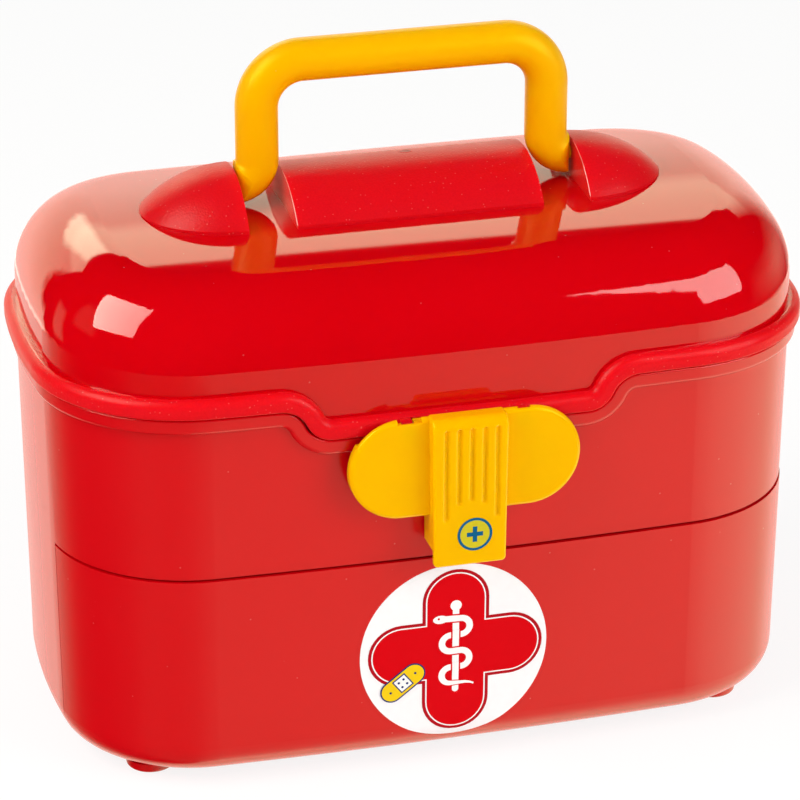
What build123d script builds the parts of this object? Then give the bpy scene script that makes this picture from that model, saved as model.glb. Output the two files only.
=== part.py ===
from build123d import *
import math
import os

# Toy doctor case: a body with an upper compartment, a lid on two rear hinges, a bail handle, a front
# latch and a full-width drawer. Millimetres, +Z up, front at -Y, origin under the middle of the case.

# Plan outline: four bowed sides joined by round corners, measured on the wall at the lid seam
half_width = 126.4
half_depth = 69.9
front_radius = 1895.0
side_radius = 264.0
corner_radius = 47.7

# Heights
base_z = 3.5
drawer_top_z = 75.7
body_edge_z = 76.4
shelf_z = 77.0
seam_z = 133.3
crown_z = 175.5

# Walls
wall = 2.2
drawer_wall = 1.9
body_draft = 0.6
lid_draft = 0.7
bottom_radius = 11.5
seam_gap = 0.6

# Seam: it dips behind the latch along two S curves
dip = 11.0
curve_mid_x = 50.4
curve_radius = 9.3
rim_height = 6.6
rim_reach = 3.6
bead_height = 5.4
bead_reach = 2.2
bead_top_radius = 0.6
bead_under_radius = 1.6
rim_top_radius = 3.0
rim_under_radius = 0.8
lip_rise = 2.4
lip_wall = 1.4
lip_clearance = 0.4

# Dome, grip bar and handle lugs on the lid
crown_radius = 315.0
dome_fillet = 25.6
bar_half_length = 41.0
bar_half_depth = 24.1
bar_radius = 31.0
bar_top_z = 187.3
bar_hub_z = bar_top_z - bar_radius
lug_face_x = 56.9
lug_length = 30.5
lug_radius = 28.9
lug_top_z = 188.9
lug_hub_z = lug_top_z - lug_radius
root_depth = 8.0

# Bail handle
leg_x = 48.6
handle_top_z = 223.3
handle_radius = 7.0
handle_corner = 15.0
elbow_radius = 7.4
elbow_rounding = 4.8
pivot_z = 183.6
handle_pin_radius = 2.5
handle_pin_length = 6.0
running_gap = 0.06

# Latch
latch_axis_y = -74.5
latch_axis_z = 125.8
latch_pin_radius = 1.0
pill_width = 76.0
pill_height = 34.2
pill_z = 111.7
plate_front_y = -77.6
plate_wall = 1.8
clip_front_y = -83.0
clip_top_width = 24.8
clip_low_width = 23.8
clip_top_z = 129.2
clip_low_z = 78.6
clip_wall = 1.8
ear_x = 19.0
ear_width = 3.4
ear_radius = 1.9

# Lid hinges
hinge_x = 62.0
hinge_y = 79.6
hinge_z = seam_z
knuckle_radius = 3.4
hinge_pin_radius = 1.5
knuckle_width = 5.0
lid_knuckle_width = 9.6
knuckle_gap = 0.3

# Drawer
drawer_back_y = -29.0
drawer_proud = 0.8
drawer_gap = 0.8
tray_half_width = 119.4
tray_rear_y = 64.0
tray_corner = 46.0
tray_floor_z = 8.0
tray_top_z = 72.0

# Base plate, feet and label
plate_z = base_z + wall
plate_thick = 2.0
flange_width = 2.5
foot_x = 97.6
foot_y = 44.5
foot_radius = 8.2
foot_top_z = 3.2
peg_radius = 2.5
label_x = -1.4
label_z = 41.3
label_radius = 31.5
label_thick = 0.3

# Construction margins: beyond the whole case, past a trimmed end, and a slight overlap
far = 150.0
margin = 6.0
overlap = 1.0


def outline(z, grow=0.0):
    """Plan outline at height z. All arcs keep their centres, so walls stay parallel."""
    front_hub = Vector(0, half_depth - front_radius)
    side_hub = Vector(half_width - side_radius, 0)
    to_front = front_radius - corner_radius
    to_side = side_radius - corner_radius
    line = side_hub - front_hub
    along = (to_front**2 - to_side**2 + line.length**2) / (2 * line.length)
    across = math.sqrt(to_front**2 - along**2)
    unit = line.normalized()
    corner_hub = front_hub + unit * along + Vector(unit.Y, -unit.X) * across
    front_end = corner_hub + (corner_hub - front_hub).normalized() * (corner_radius + grow)
    side_end = corner_hub + (corner_hub - side_hub).normalized() * (corner_radius + grow)
    middle = ((corner_hub - front_hub).normalized() + (corner_hub - side_hub).normalized()).normalized()
    bulge = corner_hub + middle * (corner_radius + grow)
    with BuildSketch(Plane.XY.offset(z)) as plan:
        with BuildLine():
            for sx, sy in ((1, 1), (-1, 1), (-1, -1), (1, -1)):
                corner = [Vector(sx * p.X, sy * p.Y) for p in (side_end, bulge, front_end)]
                ThreePointArc(*corner)
            for sy in (1, -1):
                ends = [Vector(sx * front_end.X, sy * front_end.Y) for sx in (-1, 1)]
                ThreePointArc(ends[0], Vector(0, sy * (half_depth + grow)), ends[1])
            for sx in (1, -1):
                ends = [Vector(sx * side_end.X, sy * side_end.Y) for sy in (-1, 1)]
                ThreePointArc(ends[0], Vector(sx * (half_width + grow), 0), ends[1])
        make_face()
    return plan.sketch


def above_seam(lift):
    """Everything above the seam surface, raised by lift square to the surface."""
    turn = math.acos(1 - dip / (2 * curve_radius))
    run = curve_radius * math.sin(turn)
    low_hub = Vector(curve_mid_x - run, seam_z - dip + curve_radius)
    high_hub = Vector(curve_mid_x + run, seam_z - curve_radius)

    def low(angle, side):
        reach = curve_radius - lift
        return Vector(side * (low_hub.X + reach * math.sin(angle)), low_hub.Y - reach * math.cos(angle))

    def high(angle, side):
        reach = curve_radius + lift
        return Vector(side * (high_hub.X - reach * math.sin(angle)), high_hub.Y + reach * math.cos(angle))

    with BuildPart() as region:
        with BuildSketch(Plane.XZ):
            with BuildLine():
                for side in (-1, 1):
                    ThreePointArc(low(0, side), low(turn / 2, side), low(turn, side))
                    ThreePointArc(high(turn, side), high(turn / 2, side), high(0, side))
                    Polyline(high(0, side), Vector(side * far, seam_z + lift), Vector(side * far, 2 * far))
                Line(low(0, -1), low(0, 1))
                Line((-far, 2 * far), (far, 2 * far))
            make_face()
        extrude(amount=far)
        with BuildSketch(Plane.XY.offset(seam_z + lift)):
            with Locations((0, far / 2)):
                Rectangle(2 * far, far)
        extrude(amount=2 * far - seam_z - lift)
    return region.part


def dome_block(grow):
    """Solid dome of the lid, grown or shrunk evenly from its outer surface."""
    foot_z = seam_z - dip - bead_height
    with BuildPart() as block:
        extrude(outline(foot_z, grow), amount=crown_z + 3 * margin - foot_z, dir=(0, 0, 1), taper=lid_draft)
        with BuildSketch(Plane.YZ):
            with Locations((0, crown_z + grow - crown_radius)):
                Circle(crown_radius)
            with Locations((0, far)):
                Rectangle(2 * far, 2 * far, mode=Mode.INTERSECT)
        extrude(amount=far, both=True, mode=Mode.INTERSECT)
        top = block.faces().sort_by(Axis.Z)[-1]
        fillet(top.edges(), radius=dome_fillet + grow)
    return block.part


def lug_block(side, grow):
    """Nose-shaped handle lug: an egg form cut to a half-ellipse plan, flat towards the handle."""
    bulge = lug_length * lug_radius / bar_half_depth
    with BuildPart() as nose:
        with BuildSketch(Plane((0, 0, lug_hub_z), x_dir=(1, 0, 0), z_dir=(0, -1, 0))):
            with Locations((side * lug_face_x, 0)):
                Ellipse(bulge + grow, lug_radius + grow)
            with Locations((side * (lug_face_x - grow + far / 2), far / 2)):
                Rectangle(far, far, mode=Mode.INTERSECT)
        revolve(axis=Axis((0, 0, lug_hub_z), (1, 0, 0)))
        with BuildSketch(Plane.XY.offset(crown_z - root_depth)):
            with Locations((side * lug_face_x, 0)):
                Ellipse(lug_length + grow, bar_half_depth + grow)
        extrude(amount=lug_top_z - crown_z + 2 * root_depth, mode=Mode.INTERSECT)
    return nose.part


def slab(z_low, z_high, grow, mode=Mode.ADD):
    """Straight-sided slab of the plan outline between two heights."""
    extrude(outline(z_low, grow), amount=z_high - z_low, dir=(0, 0, 1), mode=mode)


def drafted(z, grow=0.0):
    """How far the drafted body wall at height z stands from the plan outline."""
    return grow - (seam_z - z) * math.tan(math.radians(body_draft))


def body_block(z_top, z_low, grow, low_fillet):
    """Drafted block of the body that narrows downwards, with a rounded lower edge."""
    with BuildPart() as block:
        wall_top = outline(z_top, drafted(z_top, grow))
        extrude(wall_top, amount=z_top - z_low, dir=(0, 0, -1), taper=body_draft)
        fillet(block.faces().sort_by(Axis.Z)[0].edges(), radius=low_fillet)
    return block.part


def box_between(low, high, mode=Mode.ADD):
    """Box given by two opposite corners."""
    size = [high[i] - low[i] for i in range(3)]
    middle = [(high[i] + low[i]) / 2 for i in range(3)]
    with Locations(tuple(middle)):
        Box(*size, mode=mode)


def rod(centre, radius, length, mode=Mode.ADD):
    """Round rod along X, centred on a point."""
    with Locations(Location(centre, (0, 90, 0))):
        Cylinder(radius, length, mode=mode)


slope = 0.2
upright = 0.01


def crosses_case(edge):
    """True where the front and rear halves of the seam surface meet inside the case."""
    return abs(edge.center().Y) < 0.1 and abs(edge.center().X) < half_depth


def rounded_band(low_lift, high_lift, grow, under_radius, top_radius):
    """Band that follows the seam, standing proud of the wall, with both free edges rounded."""
    with BuildPart() as band:
        slab(seam_z - 3 * dip, seam_z + 3 * dip, grow)
        add(above_seam(low_lift), mode=Mode.INTERSECT)
        add(above_seam(high_lift), mode=Mode.SUBTRACT)
        for top, radius in ((True, top_radius), (False, under_radius)):
            level = band.faces().filter_by(
                lambda f: (f.normal_at().Z > slope) == top and abs(f.normal_at().Z) > slope
            )
            sides = band.faces().filter_by(lambda f: abs(f.normal_at().Z) < upright)
            side_edges = [e for f in sides for e in f.edges() if not crosses_case(e)]
            level_edges = [e for f in level for e in f.edges()]
            fillet([e for e in level_edges if any(e.is_same(o) for o in side_edges)], radius=radius)
    return band.part


def seam_lip(low_lift, high_lift, outer):
    """Thin ring that follows the seam inside the wall."""
    with BuildPart() as ring:
        slab(seam_z - 3 * dip, seam_z + 3 * dip, outer)
        slab(seam_z - 4 * dip, seam_z + 4 * dip, -wall - lip_clearance - lip_wall, Mode.SUBTRACT)
        add(above_seam(low_lift), mode=Mode.INTERSECT)
        add(above_seam(high_lift), mode=Mode.SUBTRACT)
    return ring.part


# ---------------------------------------------------------------- body shell
# One moulding: the upper compartment with its floor, the bay for the drawer below it, the bead
# under the seam, the locating lip, the latch catch and the outer knuckles of the two hinges.
lip_root = 4.0
catch_half_width = 8.0
catch_reach_y = -78.0
catch_low_z = 80.7
catch_nose = 1.6
catch_high_z = 91.0
wall_root_y = half_depth - 1.4
compartment_fillet = 2.0
peg_room = 0.8
rib_drop = 17.0
touch_angle = math.radians(40)
touch_y = hinge_y + knuckle_radius * math.cos(touch_angle)
touch_rise = knuckle_radius * math.sin(touch_angle)
knuckle_offset = lid_knuckle_width / 2 + knuckle_gap + knuckle_width / 2

with BuildPart() as body_shell:
    add(body_block(seam_z + margin, base_z, 0.0, bottom_radius))
    add(rounded_band(-bead_height, -seam_gap / 2, bead_reach, bead_under_radius, bead_top_radius))
    add(above_seam(-seam_gap / 2), mode=Mode.SUBTRACT)
    add(body_block(seam_z + margin, shelf_z + wall, -wall, compartment_fillet), mode=Mode.SUBTRACT)
    add(body_block(shelf_z, plate_z, -wall, bottom_radius - wall), mode=Mode.SUBTRACT)
    flange_edge = drafted(base_z, -bottom_radius - flange_width)
    slab(base_z - overlap, plate_z + overlap, flange_edge, Mode.SUBTRACT)
    box_between((-far, -far, -overlap), (far, drawer_back_y, body_edge_z), Mode.SUBTRACT)
    with Locations(*[(x, foot_y, plate_z) for x in (-foot_x, foot_x)]):
        Cylinder(peg_radius + peg_room, 4 * wall, mode=Mode.SUBTRACT)
    add(seam_lip(-lip_root, -seam_gap / 2, lip_clearance - wall))
    add(seam_lip(-seam_gap, lip_rise, -wall - lip_clearance))
    with BuildSketch(Plane.YZ):
        with BuildLine():
            Polyline(
                (-wall_root_y, catch_high_z),
                (catch_reach_y, catch_low_z + catch_nose),
                (catch_reach_y, catch_low_z),
                (-wall_root_y, catch_low_z),
                close=True,
            )
        make_face()
    extrude(amount=catch_half_width, both=True)
    for side in (-1, 1):
        for step in (-knuckle_offset, knuckle_offset):
            with BuildSketch(Plane.YZ.offset(side * hinge_x + step)):
                with Locations((hinge_y, hinge_z)):
                    Circle(knuckle_radius)
                with BuildLine():
                    Polyline(
                        (wall_root_y, hinge_z - rib_drop),
                        (wall_root_y, hinge_z - seam_gap),
                        (hinge_y, hinge_z - seam_gap),
                        (touch_y, hinge_z - touch_rise),
                        close=True,
                    )
                make_face()
            extrude(amount=knuckle_width / 2, both=True)
        rod((side * hinge_x, hinge_y, hinge_z), hinge_pin_radius, 3 * lid_knuckle_width, Mode.SUBTRACT)
body_shell.part.label = "body_shell"


# ---------------------------------------------------------------- base plate
# Floor of the drawer bay. It lies on the inner flange of the shell and carries the feet.
plate_inset = bottom_radius + 0.15
plate_front_inset = bottom_radius + 2.1
plate_step_y = drawer_back_y + 0.4

with BuildPart() as base_plate:
    slab(plate_z, plate_z + plate_thick, drafted(plate_z, -plate_inset))
    box_between((-far, -far, 0), (far, plate_step_y, far), Mode.SUBTRACT)
    slab(plate_z, plate_z + plate_thick, drafted(plate_z, -plate_front_inset))
    with Locations(*[(x, y, plate_z) for x in (-foot_x, foot_x) for y in (-foot_y, foot_y)]):
        Cylinder(peg_radius, 3 * plate_thick, mode=Mode.SUBTRACT)
base_plate.part.label = "base_plate"


# ---------------------------------------------------------------- feet
# Round button foot with a shoulder that stops at the plate and a peg pressed into it.
foot_rounding = 1.2
peg_shoulder = 0.5


def make_foot(x, y):
    with BuildPart() as foot:
        with BuildSketch(Plane((x, y, 0), x_dir=(1, 0, 0), z_dir=(0, -1, 0))):
            with BuildLine():
                Line((0, 0), (foot_radius - foot_rounding, 0))
                CenterArc((foot_radius - foot_rounding, foot_rounding), foot_rounding, -90, 90)
                Polyline(
                    (foot_radius, foot_rounding),
                    (foot_radius, foot_top_z),
                    (peg_radius + peg_shoulder, foot_top_z),
                    (peg_radius + peg_shoulder, plate_z),
                    (peg_radius, plate_z),
                    (peg_radius, plate_z + plate_thick),
                    (0, plate_z + plate_thick),
                    (0, 0),
                )
            make_face()
        revolve(axis=Axis((x, y, 0), (0, 0, 1)))
    return foot


feet = {
    "foot_front_left": make_foot(-foot_x, -foot_y),
    "foot_front_right": make_foot(foot_x, -foot_y),
    "foot_rear_left": make_foot(-foot_x, foot_y),
    "foot_rear_right": make_foot(foot_x, foot_y),
}
for name, foot in feet.items():
    foot.part.label = name


# ---------------------------------------------------------------- drawer
# Tray with straight sides behind a full-width front that wraps both corners. The front's lower edge
# curls under the case, and inside it a gutter steps up to the tray floor that runs over the plate.
ring_inset = bottom_radius + 1.1
gutter_inset = ring_inset - drawer_wall
curl_radius = bottom_radius - drawer_wall
front_end_y = drawer_back_y - drawer_gap
shoulder_y = front_end_y - drawer_wall
tray_fillet = 8.0
tray_inner_fillet = tray_fillet - drawer_wall


def tray_block(z_low, z_high, shrink, low_fillet):
    """Rounded block of the tray, square where it meets the drawer front."""
    half = tray_half_width - shrink
    rear = tray_rear_y - shrink
    with BuildPart() as block:
        with BuildSketch(Plane.XY.offset(z_low)) as plan:
            with Locations((0, (rear + shoulder_y) / 2)):
                Rectangle(2 * half, rear - shoulder_y)
            fillet(plan.vertices().group_by(Axis.Y)[-1], tray_corner - shrink)
        extrude(amount=z_high - z_low)
        floor_edges = block.faces().sort_by(Axis.Z)[0].edges().sort_by(Axis.Y)
        fillet(floor_edges[1:], radius=low_fillet)
    return block.part


with BuildPart() as front_hollow:
    with Locations((0, -drawer_proud, 0)):
        add(body_block(drawer_top_z + margin, base_z + drawer_wall, -drawer_wall, curl_radius))
    box_between((-far, shoulder_y, -overlap), (far, far, far), Mode.SUBTRACT)
    slab(0, tray_floor_z + drawer_wall, drafted(base_z, drawer_proud - gutter_inset), Mode.SUBTRACT)

with BuildPart() as drawer:
    with Locations((0, -drawer_proud, 0)):
        add(body_block(drawer_top_z, base_z, 0.0, bottom_radius))
    box_between((-far, front_end_y, -overlap), (far, far, far), Mode.SUBTRACT)
    slab(0, tray_floor_z, drafted(base_z, drawer_proud - ring_inset), Mode.SUBTRACT)
    add(tray_block(tray_floor_z, tray_top_z, 0, tray_fillet))
    add(front_hollow.part, mode=Mode.SUBTRACT)
    add(tray_block(tray_floor_z + drawer_wall, far, drawer_wall, tray_inner_fillet), mode=Mode.SUBTRACT)
drawer.part.label = "drawer"


# ---------------------------------------------------------------- front label
# Round adhesive disc that follows the drawer front.
with BuildPart() as front_label:
    with BuildSketch(Plane.XZ.offset(half_depth - 2 * margin)):
        with Locations((label_x, label_z)):
            Circle(label_radius)
    extrude(amount=4 * margin)
    with Locations((0, -drawer_proud, 0)):
        add(body_block(drawer_top_z, base_z, label_thick, bottom_radius), mode=Mode.INTERSECT)
        add(body_block(drawer_top_z, base_z, 0.0, bottom_radius), mode=Mode.SUBTRACT)
front_label.part.label = "front_label"


# ---------------------------------------------------------------- lid shell
# One thin moulding: bowed dome, frosted rim that follows the seam, hollow grip bar, two hollow
# handle lugs, two ears and a scallop for the latch, and the middle knuckles of the hinges.
pocket_half_width = 17.2
barrel_radius = 2.0
barrel_gap = 0.4
rim_face_y = -half_depth - rim_reach
ear_root_y = rim_face_y + 2.5
pin_room = 0.5
tongue_low = 0.7
tongue_high = rim_height - 1
tongue_end = rim_height - 2


def bar_block(shrink):
    """Segment of a round bar: the raised grip between the handle's legs."""
    depth = 2 * (bar_half_depth - shrink)
    height = 2 * (bar_top_z - crown_z + root_depth)
    with BuildPart() as bar:
        with BuildSketch(Plane.YZ):
            with Locations((0, bar_hub_z)):
                Circle(bar_radius - shrink)
            with Locations((0, bar_top_z)):
                Rectangle(depth, height, mode=Mode.INTERSECT)
        extrude(amount=bar_half_length - shrink, both=True)
    return bar.part


with BuildPart() as lid_shell:
    add(dome_block(0.0))
    add(rounded_band(seam_gap / 2, rim_height, rim_reach, rim_under_radius, rim_top_radius))
    add(bar_block(0.0))
    add(lug_block(-1, 0.0))
    add(lug_block(1, 0.0))
    add(above_seam(seam_gap / 2), mode=Mode.INTERSECT)
    add(dome_block(-wall), mode=Mode.SUBTRACT)
    add(bar_block(wall), mode=Mode.SUBTRACT)
    add(lug_block(-1, -wall), mode=Mode.SUBTRACT)
    add(lug_block(1, -wall), mode=Mode.SUBTRACT)
    rod((0, latch_axis_y, latch_axis_z), barrel_radius + barrel_gap, 2 * pocket_half_width, Mode.SUBTRACT)
    for side in (-1, 1):
        rod((side * lug_face_x, 0, pivot_z), handle_pin_radius + running_gap,
            2 * (handle_pin_length + pin_room), Mode.SUBTRACT)
        rod((side * ear_x, latch_axis_y, latch_axis_z), ear_radius, ear_width)
        box_between((side * ear_x - ear_width / 2, latch_axis_y, latch_axis_z - ear_radius),
                    (side * ear_x + ear_width / 2, ear_root_y, latch_axis_z + ear_radius))
        rod((side * ear_x, latch_axis_y, latch_axis_z), latch_pin_radius, ear_width, Mode.SUBTRACT)
        with BuildSketch(Plane.YZ.offset(side * hinge_x)):
            with Locations((hinge_y, hinge_z)):
                Circle(knuckle_radius)
            with BuildLine():
                Polyline(
                    (half_depth + overlap, hinge_z + tongue_low),
                    (half_depth + overlap, hinge_z + tongue_high),
                    (hinge_y - overlap, hinge_z + tongue_end),
                    (touch_y, hinge_z + touch_rise),
                    (hinge_y, hinge_z + tongue_low),
                    close=True,
                )
            make_face()
        extrude(amount=lid_knuckle_width / 2, both=True)
        rod((side * hinge_x, hinge_y, hinge_z), hinge_pin_radius + running_gap, 2 * lid_knuckle_width,
            Mode.SUBTRACT)
lid_shell.part.label = "lid_shell"


# ---------------------------------------------------------------- hinge and latch pins
pins = {}
for name, x in (("hinge_pin_left", -hinge_x), ("hinge_pin_right", hinge_x)):
    with BuildPart() as pin:
        rod((x, hinge_y, hinge_z), hinge_pin_radius, 2 * knuckle_offset + knuckle_width)
    pins[name] = pin
with BuildPart() as pin:
    rod((0, latch_axis_y, latch_axis_z), latch_pin_radius, 2 * ear_x + ear_width)
pins["latch_pin"] = pin
for name, pin in pins.items():
    pin.part.label = name


# ---------------------------------------------------------------- handle
# Round bar bent into a bail. Each leg ends in a tight elbow that faces its lug, rounded off beside a
# thinner pin.
elbow_x = leg_x + elbow_radius

with BuildPart() as handle:
    with BuildLine(Plane.XZ) as path:
        CenterArc((-elbow_x, pivot_z + elbow_radius), elbow_radius, -90, 90)
        Line((-leg_x, pivot_z + elbow_radius), (-leg_x, handle_top_z - handle_corner))
        CenterArc((handle_corner - leg_x, handle_top_z - handle_corner), handle_corner, 180, -90)
        Line((handle_corner - leg_x, handle_top_z), (leg_x - handle_corner, handle_top_z))
        CenterArc((leg_x - handle_corner, handle_top_z - handle_corner), handle_corner, 90, -90)
        Line((leg_x, handle_top_z - handle_corner), (leg_x, pivot_z + elbow_radius))
        CenterArc((elbow_x, pivot_z + elbow_radius), elbow_radius, 180, 90)
    with BuildSketch(Plane((-elbow_x, 0, pivot_z), z_dir=(1, 0, 0))):
        Circle(handle_radius)
    sweep(path=path.wires()[0])
    corner = handle_radius - elbow_rounding
    for side in (-1, 1):
        with BuildSketch(Plane.XY.offset(pivot_z - 2 * handle_radius)):
            for turn in (-1, 1):
                with Locations((side * (elbow_x - elbow_rounding / 2), turn * (corner + elbow_rounding / 2))):
                    Rectangle(elbow_rounding, elbow_rounding)
                with Locations((side * (elbow_x - elbow_rounding), turn * corner)):
                    Circle(elbow_rounding, mode=Mode.SUBTRACT)
        extrude(amount=2 * handle_radius + elbow_radius, mode=Mode.SUBTRACT)
        pin_end = lug_face_x + handle_pin_length
        pin_start = elbow_x - elbow_radius
        rod((side * (pin_start + pin_end) / 2, 0, pivot_z), handle_pin_radius, pin_end - pin_start)
handle.part.label = "handle"


# ---------------------------------------------------------------- latch
# Pill-shaped cover plate with a deep ribbed clip down its middle, hollow behind. A barrel along its
# top edge turns on the latch pin, and a nib at the foot of the clip sits under the catch.
plate_back_y = plate_front_y + plate_wall
clip_inner_y = clip_front_y + clip_wall
skirt_top_z = 121.0
skirt_wall = 1.6
skirt_depth = 5.0
plate_edge_radius = 1.6
clip_corner_radius = 1.5
clip_edge_radius = 0.9
clip_roll_radius = 3.6
clip_back_y = -71.0
side_back_y = -71.4
side_low_z = 84.2
side_knee_z = 98.0
side_slope_y = -74.0
side_slope_z = 113.0
nib_half_width = 9.5
nib_back_y = -78.3
nib_thick = 1.8
barrel_half = pocket_half_width - barrel_gap
ear_skin = 0.8
ear_slot_low_z = latch_axis_z - 3.0
notch_outer_x = -22.5
notch_inner_x = -14.6
notch_z = 127.4
flute_count = 5
flute_floor_radius = 0.6
flute_shoulder_radius = 1.1
flute_depth = 0.85
flute_pitch = 4.2
flute_shift = 0.5
flute_top_z = 125.4
flute_arc_z = 91.7
flute_arc_radius = 8.8


def clip_block(shrink, back_y):
    """Tapered block of the clip between its front and a plane behind it."""
    with BuildPart() as block:
        front = clip_front_y + shrink
        top_half = clip_top_width / 2 - shrink
        low_half = clip_low_width / 2 - shrink
        with BuildSketch(Plane.XZ.offset(-back_y)):
            with BuildLine():
                Polyline(
                    (-top_half, clip_top_z - shrink),
                    (top_half, clip_top_z - shrink),
                    (low_half, clip_low_z),
                    (-low_half, clip_low_z),
                    close=True,
                )
            make_face()
        extrude(amount=back_y - front)
        if shrink == 0:
            fillet(block.edges().filter_by(Axis.Y).group_by(Axis.Z)[0], radius=clip_corner_radius)
            fillet(block.faces().sort_by(Axis.Y)[0].edges().sort_by(Axis.Z)[-1], radius=clip_roll_radius)
            fillet(block.faces().sort_by(Axis.Y)[0].edges().sort_by(Axis.Z)[:-1], radius=clip_edge_radius)
    return block.part


def flute_half():
    """Half of the flute's cross-section: a round floor that runs into a soft shoulder."""
    both = flute_floor_radius + flute_shoulder_radius
    shoulder_hub = Vector(math.sqrt(both**2 - (both - flute_depth) ** 2), flute_shoulder_radius)
    floor_hub = Vector(0, flute_depth - flute_floor_radius)
    towards = (shoulder_hub - floor_hub).normalized()
    between = (towards + Vector(0, 1)).normalized()
    joint = floor_hub + towards * flute_floor_radius
    with BuildSketch() as half:
        with BuildLine():
            ThreePointArc((0, flute_depth), floor_hub + between * flute_floor_radius, joint)
            ThreePointArc(joint, shoulder_hub - between * flute_shoulder_radius, (shoulder_hub.X, 0))
            Polyline((shoulder_hub.X, 0), (shoulder_hub.X, -overlap), (0, -overlap), (0, flute_depth))
        make_face()
    return half.sketch


def flute_block(length):
    """Upright flute, closed by a bowl at each end."""
    with BuildPart() as flute:
        for end in (0, length):
            with BuildSketch(Plane.XY.offset(end)):
                add(flute_half())
            revolve(axis=Axis((0, 0, end), (0, 1, 0)))
        with BuildSketch(Plane.XY):
            add(flute_half())
            mirror(about=Plane.YZ)
        extrude(amount=length)
    return flute.part


with BuildPart() as latch:
    with BuildSketch(Plane.XZ.offset(-plate_back_y)):
        with Locations((0, pill_z)):
            SlotOverall(pill_width, pill_height)
    extrude(amount=plate_wall)
    fillet(latch.faces().sort_by(Axis.Y)[0].edges(), radius=plate_edge_radius)
    with BuildSketch(Plane.XZ.offset(-plate_back_y)):
        with Locations((0, pill_z)):
            SlotOverall(pill_width, pill_height)
            SlotOverall(pill_width - 2 * skirt_wall, pill_height - 2 * skirt_wall, mode=Mode.SUBTRACT)
        with Locations((0, skirt_top_z - far / 2)):
            Rectangle(far, far, mode=Mode.INTERSECT)
    extrude(amount=-skirt_depth)
    add(clip_block(0.0, clip_back_y))
    with BuildPart(mode=Mode.PRIVATE) as clip_hollow:
        add(clip_block(clip_wall, 0.0))
        box_between((-far, -far, clip_low_z - overlap), (far, far, skirt_top_z), Mode.INTERSECT)
    add(clip_hollow.part, mode=Mode.SUBTRACT)
    with BuildSketch(Plane.YZ):
        with BuildLine():
            Polyline(
                (clip_inner_y, clip_low_z - overlap),
                (clip_inner_y, side_low_z),
                (side_back_y, side_low_z),
                (side_back_y, side_knee_z),
                (side_slope_y, side_slope_z),
                (side_slope_y, skirt_top_z),
                (plate_back_y, skirt_top_z),
                (plate_back_y, far),
                (0, far),
                (0, clip_low_z - overlap),
                close=True,
            )
        make_face()
    extrude(amount=far, both=True, mode=Mode.SUBTRACT)
    box_between((-nib_half_width, clip_inner_y - overlap / 2, clip_low_z),
                (nib_half_width, nib_back_y, clip_low_z + nib_thick))
    rod((0, latch_axis_y, latch_axis_z), barrel_radius, 2 * barrel_half)
    box_between((-barrel_half, plate_back_y - overlap / 2, latch_axis_z - barrel_radius),
                (barrel_half, latch_axis_y, latch_axis_z + barrel_radius))
    rod((0, latch_axis_y, latch_axis_z), latch_pin_radius + running_gap, 2 * pill_height, Mode.SUBTRACT)
    for side in (-1, 1):
        half = ear_width / 2 + barrel_gap
        box_between((side * ear_x - half, plate_front_y + ear_skin, ear_slot_low_z),
                    (side * ear_x + half, 0, far), Mode.SUBTRACT)
    box_between((notch_outer_x, -far, notch_z), (notch_inner_x, 0, far), Mode.SUBTRACT)
    for i in range(flute_count):
        off_centre = (i - (flute_count - 1) / 2) * flute_pitch
        low = flute_arc_z + math.sqrt(flute_arc_radius**2 - off_centre**2) + flute_shoulder_radius
        with Locations((flute_shift + off_centre, clip_front_y, low)):
            add(flute_block(flute_top_z - low), mode=Mode.SUBTRACT)
latch.part.label = "latch"


# ---------------------------------------------------------------- files
os.makedirs("parts", exist_ok=True)
nodes = [body_shell, base_plate, drawer, front_label, lid_shell, handle, latch]
nodes += list(pins.values()) + list(feet.values())
for node in nodes:
    export_step(node.part, f"parts/{node.part.label}.step")
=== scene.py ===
import math
import bmesh
import bpy
from mathutils import Matrix, Quaternion, Vector
from mathutils.geometry import delaunay_2d_cdt


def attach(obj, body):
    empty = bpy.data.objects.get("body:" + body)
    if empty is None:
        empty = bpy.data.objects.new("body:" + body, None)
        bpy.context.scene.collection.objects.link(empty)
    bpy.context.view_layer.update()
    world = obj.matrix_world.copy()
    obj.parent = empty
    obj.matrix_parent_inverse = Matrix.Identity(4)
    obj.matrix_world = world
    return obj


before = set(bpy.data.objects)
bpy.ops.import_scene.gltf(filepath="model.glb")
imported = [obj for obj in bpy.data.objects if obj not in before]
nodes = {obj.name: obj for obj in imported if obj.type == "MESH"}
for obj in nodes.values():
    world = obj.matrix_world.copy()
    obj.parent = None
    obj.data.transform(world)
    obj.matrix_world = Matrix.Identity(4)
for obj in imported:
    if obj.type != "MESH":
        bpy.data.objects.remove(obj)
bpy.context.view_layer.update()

scene = bpy.context.scene
scene.view_settings.view_transform = "Standard"


# ---- camera
# Stands a little to the left of the case and looks down on it by about a quarter of a right angle,
# from far enough away that upright edges stay almost parallel.
camera_place = (-0.293885, -1.072757, 0.602195)
camera_right = Vector((0.96488, -0.26269, 0.00227))
camera_up = Vector((0.10613, 0.39769, 0.91136))
camera_back = camera_right.cross(camera_up)
camera_data = bpy.data.cameras.new("camera")
camera_data.sensor_width = 36.0
camera_data.lens = 163.63
camera_data.clip_start = 0.05
camera = bpy.data.objects.new("camera", camera_data)
camera_turn = Matrix((camera_right, camera_up, camera_back)).transposed().to_4x4()
camera.matrix_world = Matrix.Translation(camera_place) @ camera_turn
scene.collection.objects.link(camera)
scene.camera = camera


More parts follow.
